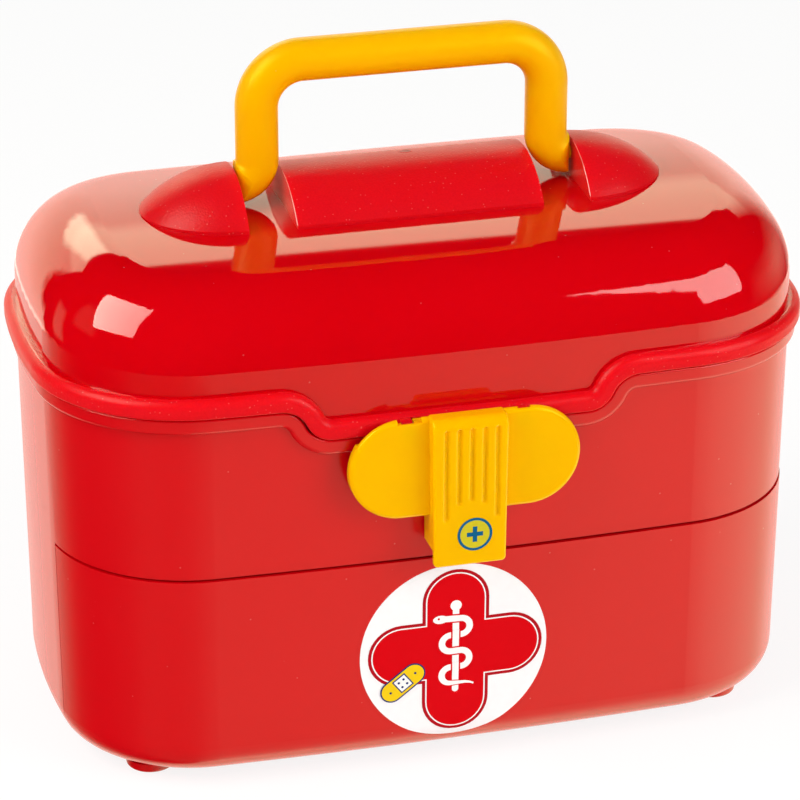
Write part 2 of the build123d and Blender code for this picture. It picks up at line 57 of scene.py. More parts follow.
# ---- studio
# White table that keeps the shadow of the case, soft lamp boxes at the left and the right front, and
# a weak one by the camera. What the polished plastic mirrors is set by direction: a pale screen behind
# the case, a dark room in front of it with a few lit patches, and the table, lit from the right.
table_reach = 14.0
table_grey = 0.93
table_glow = 1.06
table_glow_share = 0.80
floor_mesh = bpy.data.meshes.new("floor")
corners = [(x * table_reach, y * table_reach, 0) for x, y in ((-1, -1), (1, -1), (1, 1), (-1, 1))]
floor_mesh.from_pydata(corners, [], [(0, 1, 2, 3)])
floor = bpy.data.objects.new("floor", floor_mesh)
scene.collection.objects.link(floor)


def link(tree, a, b):
    tree.links.new(a, b)


def add_node(tree, kind, **values):
    """New node; each value goes to the property or else to the input of that name."""
    node = tree.nodes.new(kind)
    for key, value in values.items():
        if hasattr(node, key):
            setattr(node, key, value)
        else:
            node.inputs[key.replace("_", " ")].default_value = value
    return node


def math_node(tree, operation, a, b=None, clamp=False):
    """Result of one step of arithmetic on numbers or on other nodes' results."""
    node = tree.nodes.new("ShaderNodeMath")
    node.operation = operation
    node.use_clamp = clamp
    for socket, value in ((node.inputs[0], a), (node.inputs[1], b)):
        if value is None:
            continue
        if isinstance(value, (int, float)):
            socket.default_value = value
        else:
            tree.links.new(value, socket)
    return node.outputs[0]


def plus(tree, a, b, clamp=False):
    return math_node(tree, "ADD", a, b, clamp)


def times(tree, a, b):
    return math_node(tree, "MULTIPLY", a, b)


def ramp(tree, value, start, stop):
    """0 at start and before it, 1 at stop and after it; stop may be the lower of the two."""
    return math_node(tree, "DIVIDE", math_node(tree, "SUBTRACT", value, start), stop - start, True)


def band(tree, value, low, high, soft):
    """1 between low and high, with soft edges."""
    return times(tree, ramp(tree, value, low, low + soft), ramp(tree, value, high, high - soft))


def mix_shaders(tree, factor, first, second):
    mix = tree.nodes.new("ShaderNodeMixShader")
    for socket, value in zip(mix.inputs, (factor, first.outputs[0], second.outputs[0])):
        link(tree, value, socket)
    return mix


def mix_colors(tree, factor, first, second):
    """Blend of two colours, each an (r, g, b) or another node's result."""
    mix = add_node(tree, "ShaderNodeMix", data_type="RGBA")
    for socket, value in ((mix.inputs[6], first), (mix.inputs[7], second)):
        if isinstance(value, tuple):
            socket.default_value = (*value, 1)
        else:
            link(tree, value, socket)
    link(tree, factor, mix.inputs["Factor"])
    return mix.outputs[2]


def rays(tree):
    """Masks of the camera's own rays, and of rays that come off or through a polished surface."""
    path = tree.nodes.new("ShaderNodeLightPath").outputs
    return path["Is Camera Ray"], plus(tree, path["Is Glossy Ray"], path["Is Transmission Ray"], True)


# The polish doesn't see the table itself, only the world's picture of it.
floor_paint = bpy.data.materials.new("floor_paint")
floor_paint.use_nodes = True
floor_tree = floor_paint.node_tree
floor_tree.nodes.clear()
seen, mirrored = rays(floor_tree)
matt = add_node(floor_tree, "ShaderNodeBsdfDiffuse", Color=(table_grey, table_grey, table_grey, 1))
glow = add_node(floor_tree, "ShaderNodeEmission", Strength=table_glow)
clear = floor_tree.nodes.new("ShaderNodeBsdfTransparent")
table_top = mix_shaders(floor_tree, times(floor_tree, seen, table_glow_share), matt, glow)
out = floor_tree.nodes.new("ShaderNodeOutputMaterial")
link(floor_tree, mix_shaders(floor_tree, mirrored, table_top, clear).outputs[0], out.inputs["Surface"])
floor_mesh.materials.append(floor_paint)

# Bearings are in degrees from +Y towards +X. A height is the upward part of a direction of length 1.
room_light = 0.34
screen_bottom, screen_top = -0.36, 0.588
screen_left, screen_right = (-33, -30), (50, 32)
screen_strength, screen_rise, screen_bright = 1.5, 0.35, 1.1
screen_spot = (3.2, (-21, 4, 5), (0.33, 0.60, 0.04))
room_patches = ((0.7, (-64, -48, 4), (-0.30, 0.22, 0.08)),
                (0.32, (-97, -70, 5), (0.10, 0.62, 0.08)),
                (0.8, (34, 110, 34), (-0.36, 0.34, 0.30)))
table_strength = 2.15
table_light = ((-180, 0.22), (-157, 0.08), (-133, 0.08), (-113, 0.02), (-73, 0.01), (-49, 0.15),
               (-30, 0.36), (-13, 0.62), (40, 0.68), (77, 0.80), (115, 1.0), (132, 0.96), (150, 0.62),
               (168, 0.33), (180, 0.22))
table_edge, table_edge_dip, table_edge_soft = -0.325, 0.04, 0.02
line_of_sight = (0.241, 0.880, -0.410)
dull_share = 0.32
side_tint, ahead_tint = (0.80, 1.0, 0.68), (1.28, 0.88, 0.77)

world = bpy.data.worlds.new("studio")
scene.world = world
world.use_nodes = True
sky = world.node_tree
sky.nodes.clear()
where = sky.nodes.new("ShaderNodeTexCoord").outputs["Generated"]
parted = sky.nodes.new("ShaderNodeSeparateXYZ")
link(sky, where, parted.inputs[0])
height = parted.outputs["Z"]
bearing = math_node(sky, "ARCTAN2", parted.outputs["X"], parted.outputs["Y"])
bearing = times(sky, bearing, 180 / math.pi)


def patch(strength, across, up):
    """Lit patch of the room; across is its band of bearings and up its band of heights."""
    return times(sky, times(sky, band(sky, bearing, *across), band(sky, height, *up)), strength)


# The screen brightens upwards, and once more near its top.
screen = plus(sky, times(sky, ramp(sky, height, screen_bottom, 0.10), screen_rise), screen_strength)
screen = plus(sky, screen, times(sky, ramp(sky, height, 0.40, 0.45), screen_bright))
screen = times(sky, screen, ramp(sky, bearing, *screen_left))
screen = times(sky, screen, ramp(sky, bearing, *screen_right))
screen = times(sky, screen, band(sky, height, screen_bottom, screen_top, 0.007))
room = plus(sky, screen, patch(*screen_spot))
for room_patch in room_patches:
    room = plus(sky, room, patch(*room_patch))

# The table's edge lies a little lower straight in front of the case.
table = sky.nodes.new("ShaderNodeFloatCurve")
curve = table.mapping.curves[0]
for point, (turn, light) in zip(curve.points, (table_light[0], table_light[-1])):
    point.location = ((turn + 180) / 360, light)
for turn, light in table_light[1:-1]:
    curve.points.new((turn + 180) / 360, light)
table.mapping.update()
link(sky, math_node(sky, "DIVIDE", plus(sky, bearing, 180), 360), table.inputs["Value"])
in_front = ramp(sky, math_node(sky, "ABSOLUTE", bearing), 160, 178)
edge = math_node(sky, "SUBTRACT", table_edge, times(sky, in_front, table_edge_dip))
on_table = math_node(sky, "DIVIDE", math_node(sky, "SUBTRACT", edge, height), table_edge_soft, True)
room = plus(sky, room, times(sky, times(sky, table.outputs[0], table_strength), on_table))

# Towards where the camera looks, the mirrored light is duller and warmer than at the sides.
ahead = add_node(sky, "ShaderNodeVectorMath", operation="DOT_PRODUCT")
link(sky, where, ahead.inputs[0])
ahead.inputs[1].default_value = line_of_sight
ahead = ahead.outputs["Value"]
dull = times(sky, ramp(sky, ahead, 0.80, 0.95), dull_share)
mirror_light = sky.nodes.new("ShaderNodeBackground")
tint = mix_colors(sky, ramp(sky, ahead, 0.60, 0.94), side_tint, ahead_tint)
link(sky, tint, mirror_light.inputs["Color"])
link(sky, times(sky, room, math_node(sky, "SUBTRACT", 1.0, dull)), mirror_light.inputs["Strength"])
seen, mirrored = rays(sky)
level = add_node(sky, "ShaderNodeMix", data_type="FLOAT", A=room_light, B=1.0)
link(sky, seen, level.inputs["Factor"])
plain = add_node(sky, "ShaderNodeBackground", Color=(1, 1, 1, 1))
link(sky, level.outputs["Result"], plain.inputs["Strength"])
out = sky.nodes.new("ShaderNodeOutputWorld")
link(sky, mix_shaders(sky, mirrored, plain, mirror_light).outputs[0], out.inputs["Surface"])


def lamp_box(name, turn, rise, distance, width, depth, radiance, color, lights=True, shines=True,
             roll=0, fade=None):
    """Soft box that faces the lid, its place by bearing and rise; fade dims one side of it."""
    aim = Vector((0, -0.03, 0.15))
    turn, rise = math.radians(turn), math.radians(rise)
    towards = Vector((math.sin(turn) * math.cos(rise), math.cos(turn) * math.cos(rise), math.sin(rise)))
    lamp = bpy.data.lights.new(name, "AREA")
    lamp.shape = "RECTANGLE"
    lamp.size = width
    lamp.size_y = depth
    lamp.energy = radiance * math.pi * width * depth
    lamp.color = color
    if fade:
        lamp.use_nodes = True
        tree = lamp.node_tree
        over = tree.nodes.new("ShaderNodeSeparateXYZ")
        link(tree, tree.nodes.new("ShaderNodeNewGeometry").outputs["Parametric"], over.inputs[0])
        strength = plus(tree, times(tree, over.outputs["X"], fade[1] - fade[0]), fade[0])
        link(tree, strength, tree.nodes["Emission"].inputs["Strength"])
    holder = bpy.data.objects.new(name, lamp)
    holder.location = aim + towards * distance
    aimed = (-towards).to_track_quat("-Z", "Y") @ Quaternion((0, 0, 1), math.radians(roll))
    holder.rotation_euler = aimed.to_euler()
    holder.visible_camera = False
    holder.visible_diffuse = lights
    holder.visible_glossy = shines
    scene.collection.objects.link(holder)


# Each large box lights and shines, and a second one just in front of it only adds to its shine.
soft_white = (1.0, 0.98, 0.92)
lamp_box("lamp_left", -103, 41, 1.5, 0.90, 1.12, 5.0, (1.0, 0.98, 0.90), roll=15)
lamp_box("lamp_left_shine", -103, 41, 1.49, 0.89, 1.11, 7.0, (1.0, 0.98, 0.80), lights=False, roll=15,
         fade=(1.1, 0.3))
lamp_box("lamp_right", 134, 22, 1.5, 0.95, 0.95, 4.2, soft_white)
lamp_box("lamp_right_shine", 134, 22, 1.49, 0.94, 0.94, 2.4, soft_white, lights=False)
lamp_box("lamp_fill", -165, 12, 2.2, 1.6, 1.0, 1.2, (1, 1, 1), shines=False)


# ---- red mouldings: case body, floor plate, feet and drawer
# Glossy injection moulded polypropylene, dyed through. It shows faint flow clouds, a slight orange
# peel, hairline rubs from handling and a few specks of dust.
moulding = bpy.data.node_groups.new("moulding_marks", "ShaderNodeTree")
for name, kind, way, value in (
    ("Place", "NodeSocketVector", "INPUT", None),
    ("Peel size", "NodeSocketFloat", "INPUT", 700.0),
    ("Rub amount", "NodeSocketFloat", "INPUT", 0.5),
    ("Dust amount", "NodeSocketFloat", "INPUT", 0.5),
    ("Clouds", "NodeSocketFloat", "OUTPUT", None),
    ("Rubs", "NodeSocketFloat", "OUTPUT", None),
    ("Dust", "NodeSocketFloat", "OUTPUT", None),
    ("Height", "NodeSocketFloat", "OUTPUT", None),
):
    socket = moulding.interface.new_socket(name, in_out=way, socket_type=kind)
    if value is not None:
        socket.default_value = value
entry = moulding.nodes.new("NodeGroupInput")
leave = moulding.nodes.new("NodeGroupOutput")


def noise_at(tree, place, **values):
    """Noise texture laid over a place."""
    noise = add_node(tree, "ShaderNodeTexNoise", **values)
    link(tree, place, noise.inputs["Vector"])
    return noise


clouds = noise_at(moulding, entry.outputs["Place"], Scale=22.0, Detail=3.0, Roughness=0.5).outputs[0]
peel = noise_at(moulding, entry.outputs["Place"], Detail=2.0)
link(moulding, entry.outputs["Peel size"], peel.inputs["Scale"])

# Two lays of hairlines cross each other, and show only in patches.
hairlines = []
lays = (((0.3, 0.2, 0.5), (60, 1500, 900), 3.1), ((0.9, 0.7, 2.2), (1300, 70, 1100), 7.7))
for turn, stretch, seed in lays:
    lay = add_node(moulding, "ShaderNodeMapping", Rotation=turn, Scale=stretch)
    link(moulding, entry.outputs["Place"], lay.inputs["Vector"])
    hair = noise_at(moulding, lay.outputs[0], noise_dimensions="4D", Scale=1.0, Detail=1.0, W=seed)
    hairlines.append(ramp(moulding, hair.outputs[0], 0.70, 0.70 + 1 / 12))
patches = noise_at(moulding, entry.outputs["Place"], Scale=38.0, Detail=2.0).outputs[0]
patches = ramp(moulding, patches, 0.5, 0.7)
rubs = times(moulding, math_node(moulding, "MAXIMUM", *hairlines), patches)
rubs = times(moulding, rubs, entry.outputs["Rub amount"])

# Dust sits in the middle of a few of the cells.
dust_radius, dust_pick = 0.055, 0.72
speck = add_node(moulding, "ShaderNodeTexVoronoi", Scale=190.0)
link(moulding, entry.outputs["Place"], speck.inputs["Vector"])
cell = add_node(moulding, "ShaderNodeSeparateColor")
link(moulding, speck.outputs["Color"], cell.inputs[0])
dust = times(moulding, math_node(moulding, "LESS_THAN", speck.outputs["Distance"], dust_radius),
             math_node(moulding, "GREATER_THAN", cell.outputs[0], dust_pick))
dust = times(moulding, dust, entry.outputs["Dust amount"])

peel_height, cloud_height, rub_depth, dust_height = 0.10, 0.9, 0.25, 0.5
relief = times(moulding, peel.outputs[0], peel_height)
relief = plus(moulding, relief, times(moulding, clouds, cloud_height))
relief = math_node(moulding, "SUBTRACT", relief, times(moulding, rubs, rub_depth))
relief = plus(moulding, relief, times(moulding, dust, dust_height))
for name, value in (("Clouds", clouds), ("Rubs", rubs), ("Dust", dust), ("Height", relief)):
    link(moulding, value, leave.inputs[name])


def translucent(skin, seep):
    """Light seeps this far, in metres of red, green and blue, through the dyed plastic."""
    skin.inputs["Subsurface Weight"].default_value = 0.5
    skin.inputs["Subsurface Radius"].default_value = seep
    skin.inputs["Subsurface Scale"].default_value = 1.0


def new_paint(name):
    """Material, its node tree, its skin and its place on the piece."""
    paint = bpy.data.materials.new(name)
    paint.use_nodes = True
    tree = paint.node_tree
    place = tree.nodes.new("ShaderNodeTexCoord").outputs["Object"]
    return paint, tree, tree.nodes["Principled BSDF"], place


def marks_at(tree, group, place):
    """The marks of a group laid over a place."""
    marks = tree.nodes.new("ShaderNodeGroup")
    marks.node_tree = group
    link(tree, place, marks.inputs["Place"])
    return marks


def raise_relief(tree, skin, height, strength, distance):
    """Fine relief of a height on the skin; distance is in metres."""
    relief = add_node(tree, "ShaderNodeBump", Strength=strength, Distance=distance)
    link(tree, height, relief.inputs["Height"])
    link(tree, relief.outputs[0], skin.inputs["Normal"])


def glossy_plastic(name, deep, light, roughness, bump, rub, dust, seep=None, shine=None):
    """Dyed plastic with a polished skin; deep and light are its two tones."""
    dust_color = (0.75, 0.55, 0.50)
    paint, tree, skin, place = new_paint(name)
    marks = marks_at(tree, moulding, place)
    marks.inputs["Rub amount"].default_value = rub
    marks.inputs["Dust amount"].default_value = dust
    tone = mix_colors(tree, marks.outputs["Clouds"], deep, light)
    tone = mix_colors(tree, times(tree, marks.outputs["Dust"], 0.35), tone, dust_color)
    link(tree, tone, skin.inputs["Base Color"])
    rough = plus(tree, times(tree, marks.outputs["Rubs"], 0.25), roughness)
    rough = plus(tree, rough, times(tree, marks.outputs["Clouds"], 0.04))
    link(tree, rough, skin.inputs["Roughness"])
    raise_relief(tree, skin, marks.outputs["Height"], bump, 0.0002)
    skin.inputs["IOR"].default_value = 1.49
    if seep:
        translucent(skin, seep)
    if shine:
        skin.inputs["Specular Tint"].default_value = (*shine, 1)
    return paint


def dress(node, *paints):
    """The node keeps its shape and gets these materials."""
    mesh = nodes[node].data
    mesh.materials.clear()
    for paint in paints:
        mesh.materials.append(paint)


body_red = glossy_plastic("body_red", (0.615, 0.0004, 0.004), (0.655, 0.0008, 0.005), roughness=0.13,
                          bump=0.22, rub=0.5, dust=0.4)
for piece in ("body_shell", "base_plate", "foot_front_left", "foot_front_right", "foot_rear_left",
              "foot_rear_right", "drawer"):
    dress(piece, body_red)


# ---- lid
# One moulding with two skins: a polished dome, and a fine spark-eroded texture on the rim, the grip
# bar and the handle lugs. The bar keeps the mark of the gate where the plastic was let in.
lid_seep = (0.014, 0.0005, 0.0004)
lid_gloss = glossy_plastic("lid_gloss", (0.69, 0.0004, 0.004), (0.735, 0.0006, 0.005), roughness=0.02,
                           bump=0.05, rub=0.35, dust=0.5, seep=lid_seep)

spark = bpy.data.node_groups.new("spark_texture", "ShaderNodeTree")
spark.interface.new_socket("Place", in_out="INPUT", socket_type="NodeSocketVector")
spark.interface.new_socket("Grain", in_out="INPUT", socket_type="NodeSocketFloat").default_value = 2300.0
for name in ("Height", "Glint", "Chalk"):
    spark.interface.new_socket(name, in_out="OUTPUT", socket_type="NodeSocketFloat")
entry = spark.nodes.new("NodeGroupInput")
leave = spark.nodes.new("NodeGroupOutput")
fine = noise_at(spark, entry.outputs["Place"], Detail=2.0, Roughness=0.6)
pits = add_node(spark, "ShaderNodeTexVoronoi", feature="SMOOTH_F1")
link(spark, entry.outputs["Place"], pits.inputs["Vector"])
for texture in (fine, pits):
    link(spark, entry.outputs["Grain"], texture.inputs["Scale"])
link(spark, plus(spark, fine.outputs[0], times(spark, pits.outputs["Distance"], 0.7)), leave.inputs["Height"])
link(spark, fine.outputs[0], leave.inputs["Glint"])

# Pale motes stand a little closer together in some places than in others.
mote_radius, mote_pick = 0.18, 0.98
mote = add_node(spark, "ShaderNodeTexVoronoi", Scale=760.0)
link(spark, entry.outputs["Place"], mote.inputs["Vector"])
cell = spark.nodes.new("ShaderNodeSeparateColor")
link(spark, mote.outputs["Color"], cell.inputs[0])
drift = noise_at(spark, entry.outputs["Place"], Scale=60.0, Detail=2.0)
picked = plus(spark, cell.outputs[0], times(spark, drift.outputs[0], 0.5))
chalk = times(spark, math_node(spark, "LESS_THAN", mote.outputs["Distance"], mote_radius),
              math_node(spark, "GREATER_THAN", picked, mote_pick))
link(spark, times(spark, chalk, 0.5), leave.inputs["Chalk"])


def frosted_plastic(name, deep, light, roughness, grain, bump):
    """The same dyed plastic off a spark-eroded tool, with the mark of the gate."""
    chalk_color, gate_color = (0.80, 0.16, 0.13), (0.26, 0.0, 0.002)
    gate_place, gate_radius = (0.0022, 0.0050, 0.1868), 0.0021
    gate_ring_radius, gate_ring_height = 0.0026, 3.0
    paint, tree, skin, place = new_paint(name)
    grit = marks_at(tree, spark, place)
    grit.inputs["Grain"].default_value = grain
    marks = marks_at(tree, moulding, place)
    from_gate = add_node(tree, "ShaderNodeVectorMath", operation="DISTANCE")
    link(tree, place, from_gate.inputs[0])
    from_gate.inputs[1].default_value = gate_place
    from_gate = from_gate.outputs["Value"]
    tone = mix_colors(tree, grit.outputs["Glint"], deep, light)
    tone = mix_colors(tree, grit.outputs["Chalk"], tone, chalk_color)
    in_gate = ramp(tree, from_gate, gate_radius, gate_radius - 0.0005)
    tone = mix_colors(tree, times(tree, in_gate, 0.8), tone, gate_color)
    link(tree, tone, skin.inputs["Base Color"])
    rough = plus(tree, times(tree, marks.outputs["Clouds"], 0.12), roughness)
    link(tree, rough, skin.inputs["Roughness"])
    ring = band(tree, from_gate, 0.0008, gate_ring_radius, 0.0006)
    uneven = plus(tree, grit.outputs["Height"], times(tree, ring, gate_ring_height))
    raise_relief(tree, skin, uneven, bump, 0.00012)
    skin.inputs["IOR"].default_value = 1.49
    skin.inputs["Specular IOR Level"].default_value = 0.13
    translucent(skin, lid_seep)
    skin.inputs["Sheen Weight"].default_value = 0.5
    skin.inputs["Sheen Roughness"].default_value = 0.3
    skin.inputs["Sheen Tint"].default_value = (1.0, 0.26, 0.13, 1)
    return paint


lid_frost = frosted_plastic("lid_frost", (0.69, 0.0006, 0.006), (0.84, 0.003, 0.010), roughness=0.26,
                            grain=1500.0, bump=0.55)

# The plan of the case is made of arcs that run into each other: front, corner and side.
half_width, half_depth = 0.1264, 0.0699
front_radius, side_radius, corner_radius = 1.895, 0.264, 0.0477
corner_hub = (0.07772, 0.02056)
front_lean = corner_hub[0] / (corner_hub[1] + front_radius - half_depth)
side_lean = corner_hub[1] / (corner_hub[0] + side_radius - half_width)
seam_z, rim_rise, rim_proud = 0.1333, 0.0066, 0.0012
crown_z, crown_radius = 0.1755, 0.315
grip_half_width, grip_half_depth = 0.0876, 0.0243
above_skin, above_rim = 0.00004, 0.0001


def outside_plan(x, y):
    """How far a point stands outside the plan outline of the case."""
    dx, dy = abs(x) - corner_hub[0], abs(y) - corner_hub[1]
    if dx <= front_lean * dy:
        return math.hypot(x, abs(y) + front_radius - half_depth) - front_radius
    if dy <= side_lean * dx:
        return math.hypot(abs(x) + side_radius - half_width, y) - side_radius
    return math.hypot(dx, dy) - corner_radius


# Faces that stand above the crown round the grip, or outside the plan at the rim, are the frosted ones.
dress("lid_shell", lid_gloss, lid_frost)
lid_mesh = nodes["lid_shell"].data
for face in lid_mesh.polygons:
    x, y, z = face.center
    above_crown = z - (crown_z - y * y / (2 * crown_radius))
    on_grip = above_crown > above_skin and abs(y) < grip_half_depth and abs(x) < grip_half_width
    farthest = max(outside_plan(*lid_mesh.vertices[i].co.xy) for i in face.vertices)
    on_rim = z < seam_z + rim_rise + above_rim and farthest > rim_proud
    face.material_index = 1 if on_grip or on_rim else 0


# ---- painted highlight lines
# A thin pale ridge on the sharp edge round the grip bar's left end and round the mouth of the right handle
# lug is a painted highlight of that edge. It thins out upwards, so the painted highlight fades upwards.
highlight_line_thick = 0.00016
# Its pale colour is painted highlight, not the plastic's own red.
painted_highlight_red = glossy_plastic("painted_highlight_red", (0.85, 0.30, 0.26), (0.90, 0.36, 0.32), roughness=0.12,
                           bump=0.05, rub=0.0, dust=0.0)


def painted_highlight_line(name, x, hub_z, radius, first, last):
    """Thin pale ridge round an edge, a painted highlight of it; the edge lies in a plane across the case;
    angles from -Y upwards.
    """
    steps, sides = 40, 6
    points, faces = [], []
    for i in range(steps + 1):
        t = i / steps
        turn = math.radians(first + (last - first) * t)
        body = highlight_line_thick * (0.35 + 0.65 * (1 - t))
        for k in range(sides):
            lean = 2 * math.pi * k / sides
            reach = radius + body * math.cos(lean)
            y, z = -reach * math.cos(turn), hub_z + reach * math.sin(turn)
            points.append((x + body * math.sin(lean), y, z))
    for i in range(steps):
        for k in range(sides):
            a, b = i * sides + k, i * sides + (k + 1) % sides
            faces.append((a, a + sides, b + sides, b))
    faces += [tuple(range(sides)), tuple(steps * sides + k for k in reversed(range(sides)))]
    mesh = bpy.data.meshes.new(name)
    mesh.from_pydata(points, [], faces)
    work = bmesh.new()
    work.from_mesh(mesh)
    bmesh.ops.recalc_face_normals(work, faces=work.faces)
    work.to_mesh(mesh)
    work.free()
    mesh.materials.append(painted_highlight_red)
    ridge = bpy.data.objects.new(name, mesh)
    scene.collection.objects.link(ridge)
    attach(ridge, "lid")


painted_highlight_line("painted_highlight_bar_left", x=-0.0411, hub_z=0.1563, radius=0.0310, first=39.5, last=84)
painted_highlight_line("painted_highlight_lug_right", x=0.0568, hub_z=0.1600, radius=0.0289, first=34.5, last=78)


# ---- handle
# Warm yellow moulded bail, round in section, whose studs sit in the lugs of the lid. It is polished but
# softer than the lid, and its own yellow tints what it mirrors.
yellow_shine = (1.0, 0.72, 0.02)
handle_yellow = glossy_plastic("handle_yellow", (0.86, 0.43, 0.0), (0.91, 0.47, 0.0), roughness=0.32,
                               bump=0.15, rub=0.4, dust=0.3, seep=(0.007, 0.006, 0.0003), shine=yellow_shine)
dress("handle", handle_yellow)


# ---- latch
# Yellow pill with a ribbed clip, moulded like the handle but with a sharper polish. It swings on a wire
# pin under the rim of the lid, and light seeps less far through its thin walls.
latch_yellow = glossy_plastic("latch_yellow", (0.93, 0.455, 0.0), (0.98, 0.50, 0.0), roughness=0.15,
                              bump=0.2, rub=0.4, dust=0.3, seep=(0.003, 0.003, 0.0003), shine=yellow_shine)
dress("latch", latch_yellow)


# ---- pins
# Bright drawn wire, cut to length and pushed into the lid hinges and the latch. The drawing lines run
# along it.
wire, tree, skin, place = new_paint("pin_wire")
skin.inputs["Base Color"].default_value = (0.62, 0.62, 0.64, 1)
skin.inputs["Metallic"].default_value = 1.0
lay = add_node(tree, "ShaderNodeMapping", Scale=(40, 9000, 9000))
link(tree, place, lay.inputs["Vector"])
drawn = noise_at(tree, lay.outputs[0], Scale=1.0, Detail=2.0)
link(tree, plus(tree, times(tree, drawn.outputs[0], 0.25), 0.18), skin.inputs["Roughness"])
for pin in ("latch_pin", "hinge_pin_left", "hinge_pin_right"):
    dress(pin, wire)


# ---- front label
# Round printed film stuck to the drawer front. White stock with a red round-armed cross, an outline
# round it, and a white staff with a snake. Sizes of the prints are in millimetres.
def ink(name, color, roughness):
    """Screen-printed ink: a slight mottle and a fine screen relief."""
    paint, tree, skin, place = new_paint(name)
    mottle = noise_at(tree, place, Scale=420.0, Detail=3.0).outputs[0]
    link(tree, mix_colors(tree, mottle, tuple(c * 0.95 for c in color), color), skin.inputs["Base Color"])
    link(tree, plus(tree, times(tree, mottle, 0.08), roughness), skin.inputs["Roughness"])
    raise_relief(tree, skin, mottle, 0.15, 0.00005)
    skin.inputs["IOR"].default_value = 1.45
    skin.inputs["Specular IOR Level"].default_value = 0.06
    return paint


film = ink("label_film", (0.955, 0.958, 0.985), 0.30)
dress("front_label", film)
cross_red = ink("cross_red", (0.68, 0.0004, 0.005), 0.26)
outline_red = ink("outline_red", (0.45, 0.004, 0.012), 0.26)
white_ink = ink("white_ink", (0.95, 0.95, 0.95), 0.28)

drawer_proud = 0.8
film_thick = 0.3
front_curve = 1000 * front_radius
front_hub_y = front_curve - 1000 * half_depth - drawer_proud
draft = math.tan(math.radians(0.6))
curl_start = 15.0
curl_radius = 11.5


def on_front(x, z, lift):
    """Point of the drawer front in metres, lifted off the label film, more so where the front curls in."""
    lift += 0.03 * max(0.0, curl_start + 2.0 - z)
    radius = front_curve + film_thick - (1000 * seam_z - z) * draft
    y = front_hub_y - math.sqrt(radius**2 - x * x)
    if z < curl_start:
        y += curl_radius - math.sqrt(curl_radius**2 - (curl_start - z) ** 2)
    return (x / 1000, (y - lift) / 1000, z / 1000)


def stick(name, mesh, body):
    """Turn a printed mesh to the front and let it ride on its body."""
    mesh.update()
    if sum(face.normal.y for face in mesh.polygons) > 0:
        mesh.flip_normals()
    piece = bpy.data.objects.new(name, mesh)
    scene.collection.objects.link(piece)
    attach(piece, body)


def print_shape(name, loops, lift, paint, body="drawer", place=on_front, step=1.5):
    """Thin printed area between closed loops of (x, z) points, laid on a surface; a later print has
    more lift, so it lies on top."""
    points, edges = [], []
    for loop in loops:
        first = len(points)
        points += [Vector(p) for p in loop]
        edges += [(first + i, first + (i + 1) % len(loop)) for i in range(len(loop))]
    low_x, high_x = min(p.x for p in points), max(p.x for p in points)
    low_z, high_z = min(p.y for p in points), max(p.y for p in points)

    def inside(p):
        hit = False
        for i, j in edges:
            a, b = points[i], points[j]
            if (a.y > p.y) != (b.y > p.y) and p.x < (b.x - a.x) * (p.y - a.y) / (b.y - a.y) + a.x:
                hit = not hit
        return hit

    grid = [Vector((low_x + (i + 0.5) * step, low_z + (j + 0.5) * step))
            for i in range(int((high_x - low_x) / step) + 1) for j in range(int((high_z - low_z) / step) + 1)]
    clear = [p for p in grid if inside(p) and min((p - q).length for q in points) > 0.35 * step]
    flat, _, faces, *_ = delaunay_2d_cdt(points + clear, edges, [], 0, 1e-6)
    kept = [f for f in faces if inside(sum((flat[i] for i in f), Vector((0, 0))) / len(f))]
    mesh = bpy.data.meshes.new(name)
    mesh.from_pydata([place(p.x, p.y, lift) for p in flat], [], kept)
    work = bmesh.new()
    work.from_mesh(mesh)
    bmesh.ops.delete(work, geom=[v for v in work.verts if not v.link_faces], context="VERTS")
    work.to_mesh(mesh)
    work.free()
    mesh.materials.append(paint)
    stick(name, mesh, body)


def arc(cx, cz, radius, start, stop, count):
    """Points on an arc, angles in degrees from +x."""
    turns = [math.radians(start + (stop - start) * i / count) for i in range(count + 1)]
    return [(cx + radius * math.cos(t), cz + radius * math.sin(t)) for t in turns]


def disc(cx, cz, radius, count):
    """Closed circle of this many points."""
    return arc(cx, cz, radius, 0, 360 - 360 / count, count - 1)


def turned(cx, cz, degrees, points):
    """Points of a print turned about its own middle, which then lies at (cx, cz)."""
    t = math.radians(degrees)
    return [(cx + x * math.cos(t) - z * math.sin(t), cz + x * math.sin(t) + z * math.cos(t))
            for x, z in points]


cross_x, cross_z, cross_reach, cross_arm = -0.9, 41.5, 29.4, 11.2


def cross_loop(reach, arm):
    """Outline of a cross whose four arms end in half circles."""
    quarter = arc(reach - arm, 0, arm, -90, 90, 20) + [(arm, arm)]
    return [p for k in range(4) for p in turned(cross_x, cross_z, 90 * k, quarter)]


for name, inset, lift, paint in (("cross_outline", 0, 0.08, outline_red),
                                 ("cross_inline", 1.1, 0.11, white_ink),
                                 ("cross_field", 1.55, 0.14, cross_red)):
    print_shape(name, [cross_loop(cross_reach - inset, cross_arm - inset)], lift, paint)

staff_x, staff_foot, staff_top, staff_half, knob_radius = cross_x, 26.0, 57.8, 1.1, 1.9
staff_end = arc(staff_x, staff_foot + staff_half, staff_half, 180, 360, 12)
print_shape("staff", [staff_end + arc(staff_x, staff_top, knob_radius, -55, 235, 26)], 0.19, white_ink)

path_strip = bpy.data.node_groups.new("strip_on_path", "GeometryNodeTree")
for name, kind, value in (
    ("Path", "NodeSocketGeometry", None),
    ("Half width", "NodeSocketFloat", 0.0011),
    ("Tail length", "NodeSocketFloat", 0.2),
    ("Steps", "NodeSocketInt", 180),
    ("Paint", "NodeSocketMaterial", None),
):
    socket = path_strip.interface.new_socket(name, in_out="INPUT", socket_type=kind)
    if value is not None:
        socket.default_value = value
path_strip.interface.new_socket("Strip", in_out="OUTPUT", socket_type="NodeSocketGeometry")
entry = path_strip.nodes.new("NodeGroupInput")
leave = path_strip.nodes.new("NodeGroupOutput")

